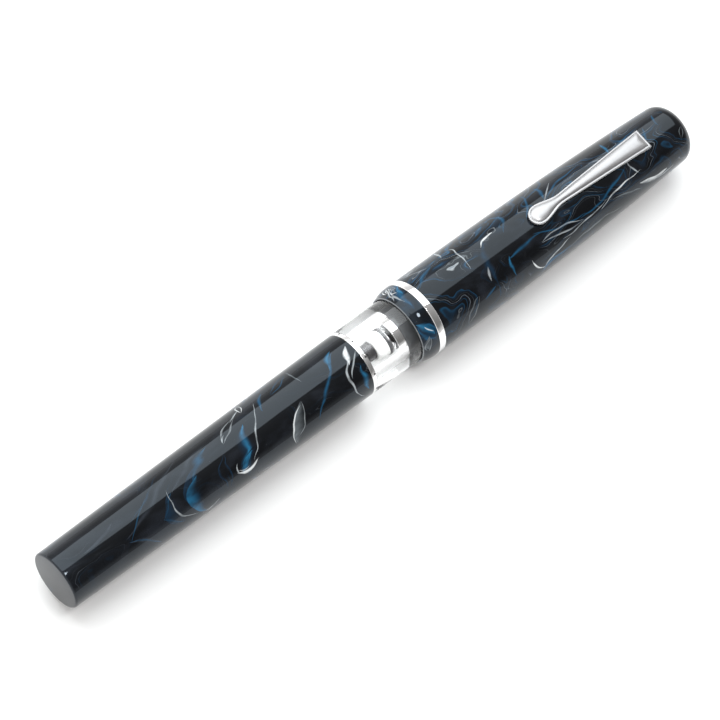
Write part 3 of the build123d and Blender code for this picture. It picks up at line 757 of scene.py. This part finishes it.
window_outline = rounded([
    (SPIGOT_START, WINDOW_BORE),
    (SPIGOT_START, SPIGOT_RADIUS - 0.005, 0.05),
    (JOINT_END - 0.01, SPIGOT_RADIUS - 0.005, 0),
    (JOINT_END - 0.01, BODY_RADIUS + 0.01, 0.02),
    (WINDOW_SWELL, WINDOW_RADIUS - 0.035, 0),
    (WINDOW_SHOULDER, WINDOW_RADIUS, 0.05),
    (WINDOW_SHOULDER + 0.3, THREAD_ROOT, 0.03),
    *thread_points(WINDOW_THREAD, 6, THREAD_ROOT, THREAD_CREST),
    (WINDOW_THREAD[1] + 0.2, THREAD_ROOT, 0.03),
    (WINDOW_THREAD[1] + 0.2, SHANK_RADIUS, 0.05),
    (WINDOW_FRONT, SHANK_RADIUS, 0.08),
    (WINDOW_FRONT, WINDOW_BORE - 0.01, 0),
    (TENON_START, WINDOW_BORE - 0.01, 0),
    (TENON_START, WINDOW_BORE, 0),
], steps=3)
lathe("window_tube", window_outline, "pen_body", "ink_window", acrylic, 200)

seat_outline = rounded([
    (SHUTOFF_START + 0.25, 2.2, 0.04),
    (SHUTOFF_START, SEAT_FACE_RADIUS, 0.04),
    (SHUTOFF_START, SEAT_RADIUS, 0.12),
    (TENON_START, SEAT_RADIUS, 0.05),
    (TENON_START, SEAT_BORE, 0),
    (SHUTOFF_START + 1.1, SEAT_BORE, 0.04),
])
lathe("shutoff_ring", seat_outline, "pen_body", "shutoff_seat", chrome, 128)

# ---- Plunger head ----------------------------------------------------------------------------
collar_outline = rounded([
    (SPACER_START, COLLAR_BORE, 0.03),
    (SPACER_START, COLLAR_RADIUS, 0.06),
    (SEAL_START - 0.02, COLLAR_RADIUS, 0.06),
    (SEAL_START - 0.02, COLLAR_BORE, 0.03),
])
lathe("rod_collar", collar_outline, "plunger", "plunger_collar", dark_steel, 96)

seal_outline = rounded([
    (SEAL_START, STUD_RADIUS, 0),
    (SEAL_START, 2.05, 0.08),
    (SEAL_START + 0.4, 2.38, 0.10),
    (SEAL_START + 1.45, 2.52, 0.03),
    (SEAL_START + 1.52, 2.46, 0.03),
    (SEAL_START + 1.60, 2.54, 0.03),
    (SEAL_END - 0.02, 2.60, 0.07),
    (SEAL_END - 0.02, STUD_RADIUS, 0),
])
lathe("head_seal", seal_outline, "plunger", "plunger_seal", white_seal, 96)

ring_end = SEAL_END + HEAD_STEP
head_ring_outline = rounded([
    (SEAL_END, STUD_RADIUS, 0),
    (SEAL_END, HEAD_RADIUS, 0.2),
    (ring_end, HEAD_RADIUS, 0.2),
    (ring_end, STUD_RADIUS, 0),
])
lathe("head_ring", head_ring_outline, "plunger", "plunger_ring", grey_rubber, 96)

nose_outline = rounded([
    (ring_end, 0),
    (ring_end, NOSE_RADIUS - 0.04, 0.04),
    (ring_end + 0.25, NOSE_RADIUS, 0.05),
    (ring_end + HEAD_STEP, 2.2, 0.05),
    (ring_end + HEAD_STEP, 0),
])
lathe("head_nose", nose_outline, "plunger", "plunger_nose", steel, 96)

# ---- Cap -------------------------------------------------------------------------------------
lip_side = smooth_line(
    [(79.42, 6.86), (79.75, 6.97), (80.35, 7.20), (81.1, 7.39), (81.9, 7.48), (BAND_START, 7.50)], 8
)
lip_outline = rounded([
    (LIP_START, LIP_BORE, 0.05),
    (LIP_START, 6.80, 0.05),
    *[(s, r, 0) for s, r in lip_side],
    (BAND_START, NECK_RADIUS, 0),
    (LIP_END, NECK_RADIUS, 0.05),
    (LIP_END, LIP_THREAD_ROOT, 0.03),
    *reversed(thread_points(LIP_THREAD, 5, LIP_THREAD_ROOT, LIP_THREAD_CREST)),
    (LIP_THREAD[0] - 0.2, LIP_BORE, 0.03),
], steps=3)
lathe("lip_ring", lip_outline, "cap", "cap_lip", resin_lip, 200)

band_outline = rounded([
    (BAND_START, NECK_RADIUS, 0),
    (BAND_START, BAND_EDGE_RADIUS, 0.05),
    (BAND_START + 0.12, BAND_EDGE_RADIUS + 0.08, 0.08),
    ((BAND_START + BAND_END) / 2, BAND_RADIUS, 0.8),
    (BAND_END - 0.12, BAND_EDGE_RADIUS + 0.08, 0.08),
    (BAND_END, BAND_EDGE_RADIUS, 0.05),
    (BAND_END, NECK_RADIUS, 0),
])
lathe("band_ring", band_outline, "cap", "cap_band", chrome, 240)


def cap_radius(station):
    """Outer radius of the cap: straight above the band, then falling ever faster to the shoulder."""
    t = (station - BAND_END) / (SHOULDER - BAND_END)
    return CAP_RADIUS - (CAP_RADIUS - SHOULDER_RADIUS) * max(t, 0) ** 2.35


cap_side = [BAND_END + (SHOULDER - BAND_END) * i / 40 for i in range(41)]
shoulder = [
    (
        SHOULDER + TOP_RISE * math.sin(math.radians(a)) ** 1.02,
        SHOULDER_RADIUS - TOP_INSET * (1 - math.cos(math.radians(a))),
    )
    for a in range(6, 85, 6)
]
cap_outline = rounded([
    (BAND_END, NECK_RADIUS, 0),
    *[(s, cap_radius(s), 0) for s in cap_side],
    *[(s, r, 0) for s, r in shoulder],
    (CAP_TOP - 0.03, TOP_FLAT_RADIUS, 0),
    (CAP_TOP, 0),
    (CAP_BORE_END, 0),
    (CAP_BORE_END, BUSH_RADIUS, 0),
    (BUSH_START, BUSH_RADIUS, 0.05),
    (BUSH_START, LINER_BORE, 0.05),
    (LINER_BORE_START, LINER_BORE, 0.05),
    (LINER_BORE_START, MOUTH_BORE, 0.05),
    (LIP_END, MOUTH_BORE, 0.05),
    (LIP_END, NECK_RADIUS, 0),
], steps=3)
cap_shell = lathe("cap_shell", cap_outline, "cap", "cap_tube", resin_cap, 200)


def cut_slot(piece, station, size, low, high):
    """Cuts a square slot straight down into a piece: size is its half length and half width."""
    half_length, half_width = size
    mesh = bpy.data.meshes.new("slot_cutter")
    ends = [(sx * half_length, sy * half_width) for sx, sy in ((-1, -1), (1, -1), (1, 1), (-1, 1))]
    verts = [place(station + x, y, z) for z in (low, high) for x, y in ends]
    faces = [(3, 2, 1, 0), (4, 5, 6, 7), (0, 1, 5, 4), (1, 2, 6, 5), (2, 3, 7, 6), (3, 0, 4, 7)]
    mesh.from_pydata(verts, [], faces)
    cutter = bpy.data.objects.new("slot_cutter", mesh)
    bpy.context.scene.collection.objects.link(cutter)
    cutting = piece.modifiers.new("slot", "BOOLEAN")
    cutting.operation = "DIFFERENCE"
    cutting.solver = "EXACT"
    cutting.object = cutter
    evaluated = piece.evaluated_get(bpy.context.evaluated_depsgraph_get())
    result = bpy.data.meshes.new_from_object(evaluated)
    piece.modifiers.clear()
    piece.data = result
    bpy.data.objects.remove(cutter)
    result.shade_smooth()
    result.set_sharp_from_angle(angle=math.radians(40))


cut_slot(cap_shell, CLIP_PIVOT, SLOT, SLOT_BOTTOM, SLOT_TOP)


# ---- Clip ------------------------------------------------------------------------------------
CLIP_WAIST = 117.4
FLARE = 112.15                  # widest place of the round tip
TIP_HALF = 1.92
WAIST_HALF = 0.98
TOP_HALF = 2.05
RIM_HEIGHT = 7.66               # lowest height of the rim above the pen's axis
RIM_ARCH = 0.52
INSETS = (0.0, 0.03, 0.07, 0.12, 0.22, 0.32, 0.38, 0.43, 0.48, 0.56, 0.70)


def clip_half_width(station):
    """Half the clip's width: a round tip, a flare, a narrow waist, then straight sides to the top."""
    if station <= FLARE:
        t = (FLARE - station) / (FLARE - CLIP_TIP)
        return TIP_HALF * math.sqrt(max(0.0, 1 - t * t))
    if station <= CLIP_WAIST:
        t = (station - FLARE) / (CLIP_WAIST - FLARE)
        ease = t * t * (3 - 2 * t)
        return TIP_HALF + (WAIST_HALF - TIP_HALF) * ease
    t = (station - CLIP_WAIST) / (CLIP_TOP - CLIP_WAIST)
    blend = min(1.0, (station - CLIP_WAIST) / 3.0)
    straight = WAIST_HALF + (TOP_HALF - WAIST_HALF) * t
    return WAIST_HALF + (straight - WAIST_HALF) * (blend * (2 - blend))


def clip_face(station):
    """Height of the clip's rim above the pen's axis."""
    t = (station - CLIP_TIP) / (CLIP_TOP - CLIP_TIP)
    arch = math.sin(math.pi * min(1.0, 0.18 + 0.82 * t)) ** 0.8
    return RIM_HEIGHT + RIM_ARCH * arch * (1 - 0.35 * t) + 0.05 * (1 - t)


def clip_thickness(station):
    """Thickness of the blade, which grows where it meets its root."""
    return 0.55 + 0.35 * min(1.0, max(0.0, station - CLIP_TOP + 2.3) / 0.6)


def clip_outline():
    """Points round half of the clip's edge, for measuring how far a point is inside it."""
    stations = np.concatenate([
        CLIP_TIP + (FLARE - CLIP_TIP) * (1 - np.cos(np.linspace(0, math.pi / 2, 40))),
        np.linspace(FLARE, CLIP_TOP, 160),
    ])
    edge = [(s, clip_half_width(s)) for s in stations]
    edge += [(CLIP_TOP, TOP_HALF * (1 - i / 20)) for i in range(1, 21)]
    return np.array(edge)


def clip_rise(inside, half):
    """Height above the rim: a rounded edge, a flat rim, a fine groove, then the domed spine."""
    edge = 0.10 * (1 - min(1.0, inside / 0.12)) ** 2
    groove = 0.05 * math.exp(-((inside - 0.40) / 0.045) ** 2)
    reach = max(0.05, half - 0.43)
    q = min(1.0, max(0.0, (inside - 0.42) / reach))
    dome = (0.10 + 0.24 * min(1.0, reach / 1.2)) * (1 - (1 - q) ** 2.4)
    return dome - edge - groove


def clip_rows():
    """Stations of the clip's cross rows, closer together at its tip and its top."""
    tip_turns = [math.pi / 2 * i / 26 for i in range(26)]
    tip = [CLIP_TIP + 0.002 + (FLARE - CLIP_TIP) * (1 - math.cos(turn)) for turn in tip_turns]
    top = [CLIP_TOP - inset for inset in (1.15, 1.0, 0.85, *reversed(INSETS))]
    return tip + list(np.linspace(FLARE, CLIP_TOP - 1.3, 110)) + top


def clip_columns(half):
    """Distances across one row, from one edge to the other, closer together at the edges."""
    near = [half - inset * min(1.0, half / WAIST_HALF) for inset in INSETS]
    near += [near[-1] * (1 - i / 5) for i in range(1, 6)]
    return near + [-y for y in reversed(near[:-1])]


def clip_sides(row_count, column_count):
    """Faces of a closed sheet: upper side, lower side with the same grid, and the edge between them."""
    faces = []
    lower = row_count * column_count
    for row in range(row_count - 1):
        for column in range(column_count - 1):
            a = row * column_count + column
            quad = (a, a + 1, a + column_count + 1, a + column_count)
            faces.append(quad)
            faces.append(tuple(lower + v for v in reversed(quad)))
    for row in range(row_count - 1):
        for column in (0, column_count - 1):
            a = row * column_count + column
            b = a + column_count
            faces.append((a, b, b + lower, a + lower))
    for column in range(column_count - 1):
        for row in (0, row_count - 1):
            a = row * column_count + column
            faces.append((a, a + 1, a + 1 + lower, a + lower))
    return faces


def clip_root(base):
    """Points and faces of the root, a block a little narrower at its foot, numbered from base."""
    half_length, half_width = ROOT
    outline = [
        (CLIP_PIVOT - half_length, ROOT_TOP),
        (CLIP_PIVOT - half_length + 0.02, ROOT_BOTTOM + 0.08),
        (CLIP_PIVOT - half_length + 0.10, ROOT_BOTTOM),
        (CLIP_PIVOT + half_length - 0.10, ROOT_BOTTOM),
        (CLIP_PIVOT + half_length - 0.02, ROOT_BOTTOM + 0.08),
        (CLIP_PIVOT + half_length, ROOT_TOP),
    ]
    count = len(outline)
    verts = [place(s, y, z) for y in (-half_width, half_width) for s, z in outline]
    faces = []
    for index in range(count):
        other = (index + 1) % count
        faces.append((base + index, base + other, base + count + other, base + count + index))
    faces.append(tuple(base + i for i in range(count)))
    faces.append(tuple(base + count + i for i in reversed(range(count))))
    return verts, faces


def make_clip():
    """The sprung blade, domed along its middle, with the root that goes down into the cap."""
    edge = clip_outline()
    rows = clip_rows()
    verts = []
    for station in rows:
        half = max(0.01, clip_half_width(station))
        columns = clip_columns(half)
        for y in columns:
            gaps = np.hypot(edge[:, 0] - station, edge[:, 1] - abs(y))
            within = abs(y) < half - 1e-4 and station < CLIP_TOP - 1e-4
            rise = clip_rise(float(gaps.min()) if within else 0.0, half)
            verts.append(place(station, y, clip_face(station) + rise))
    for index in range(len(verts)):
        station = rows[index // len(columns)]
        under = clip_face(station) - clip_thickness(station)
        verts.append((*verts[index][:2], (AXIS_Z + under) * MM))
    faces = clip_sides(len(rows), len(columns))
    root_verts, root_faces = clip_root(len(verts))
    finish_mesh(
        "clip_blade", verts + root_verts, faces + root_faces, "clip", "clip", clip_chrome, 50
    )


make_clip()

# ---- Camera, floor and light -----------------------------------------------------------------
TARGET = Vector((-1.5, 1.6, 0.0)) * MM
FORWARD = Vector((0.4062, 0.2175, -0.8875)).normalized()
UP = Vector((0.5399, 0.7265, 0.4252))
DISTANCE = 0.6306
camera_data = bpy.data.cameras.new("camera")
camera_data.lens = 175
camera_data.sensor_width = 36
camera_data.clip_start = 0.05
camera_data.clip_end = 20
camera = bpy.data.objects.new("camera", camera_data)
bpy.context.scene.collection.objects.link(camera)
bpy.context.scene.camera = camera
right = FORWARD.cross(UP).normalized()
up = right.cross(FORWARD).normalized()
turn = Matrix((right, up, -FORWARD)).transposed().to_4x4()
camera.matrix_world = Matrix.Translation(TARGET - FORWARD * DISTANCE) @ turn


def make_floor():
    size = 3.0
    corners = [(-size, -size, 0), (size, -size, 0), (size, size, 0), (-size, size, 0)]
    mesh = bpy.data.meshes.new("floor")
    mesh.from_pydata(corners, [], [(0, 1, 2, 3)])
    floor = bpy.data.objects.new("floor", mesh)
    bpy.context.scene.collection.objects.link(floor)
    g = Graph("floor_paper")
    where = g.millimetres()
    tone = g.mix(g.noise(where, 0.02, 2), rgb(0.90, 0.90, 0.90), rgb(0.93, 0.93, 0.93))
    mesh.materials.append(g.shader(Base_Color=tone, Roughness=0.8, Specular_IOR_Level=0.1))


make_floor()


def add_light(name, direction, distance, size, power, shape="RECTANGLE"):
    """An area light at a distance in a direction from the pen, facing it."""
    data = bpy.data.lights.new(name, "AREA")
    data.shape = shape
    data.size = size[0]
    data.size_y = size[1]
    data.energy = power
    lamp = bpy.data.objects.new(name, data)
    bpy.context.scene.collection.objects.link(lamp)
    towards = Vector(direction).normalized()
    side = Vector((1, 0, 0)) - towards * towards.x
    side.normalize()
    facing = Matrix((side, towards.cross(side), towards)).transposed().to_4x4()
    lamp.matrix_world = Matrix.Translation(towards * distance) @ facing
    return lamp


def direction(lean_x, lean_y):
    """Unit direction that leans degrees towards +X after leaning degrees from the vertical towards +Y."""
    x = math.sin(math.radians(lean_x))
    rest = math.cos(math.radians(lean_x))
    return (x, rest * math.sin(math.radians(lean_y)), rest * math.cos(math.radians(lean_y)))


softbox = add_light("softbox", direction(12, 28), 0.9, (1.1, 1.0), 8.7)
softbox.data.color = (0.94, 0.985, 1.0)
add_light("overhead", direction(3, -13), 1.2, (0.24, 0.24), 3.5, "ELLIPSE")


def make_world():
    """Room light that grows towards +Y and towards the horizon, with a bright wall on the -X side."""
    world = bpy.data.worlds.new("studio")
    world.use_nodes = True
    nodes = world.node_tree.nodes
    links = world.node_tree.links
    split = nodes.new("ShaderNodeSeparateXYZ")
    links.new(nodes.new("ShaderNodeTexCoord").outputs["Generated"], split.inputs[0])

    def ramp(axis, low, high, to_low, to_high):
        node = nodes.new("ShaderNodeMapRange")
        node.interpolation_type = "SMOOTHSTEP"
        links.new(split.outputs[axis], node.inputs[0])
        for index, value in enumerate((low, high, to_low, to_high), 1):
            node.inputs[index].default_value = value
        return node.outputs[0]

    total = ramp(1, -1.0, 1.0, 0.20, 0.80)
    for more in (ramp(0, 0.25, -0.6, 0.0, 0.68), ramp(2, 0.32, 0.0, 0.0, 0.50)):
        add = nodes.new("ShaderNodeMath")
        links.new(total, add.inputs[0])
        links.new(more, add.inputs[1])
        total = add.outputs[0]
    background = nodes["Background"]
    background.inputs[0].default_value = (1.0, 0.985, 0.97, 1)
    links.new(total, background.inputs[1])
    return world


bpy.context.scene.world = make_world()
bpy.context.scene.view_settings.view_transform = "Standard"
bpy.context.scene.view_settings.look = "None"
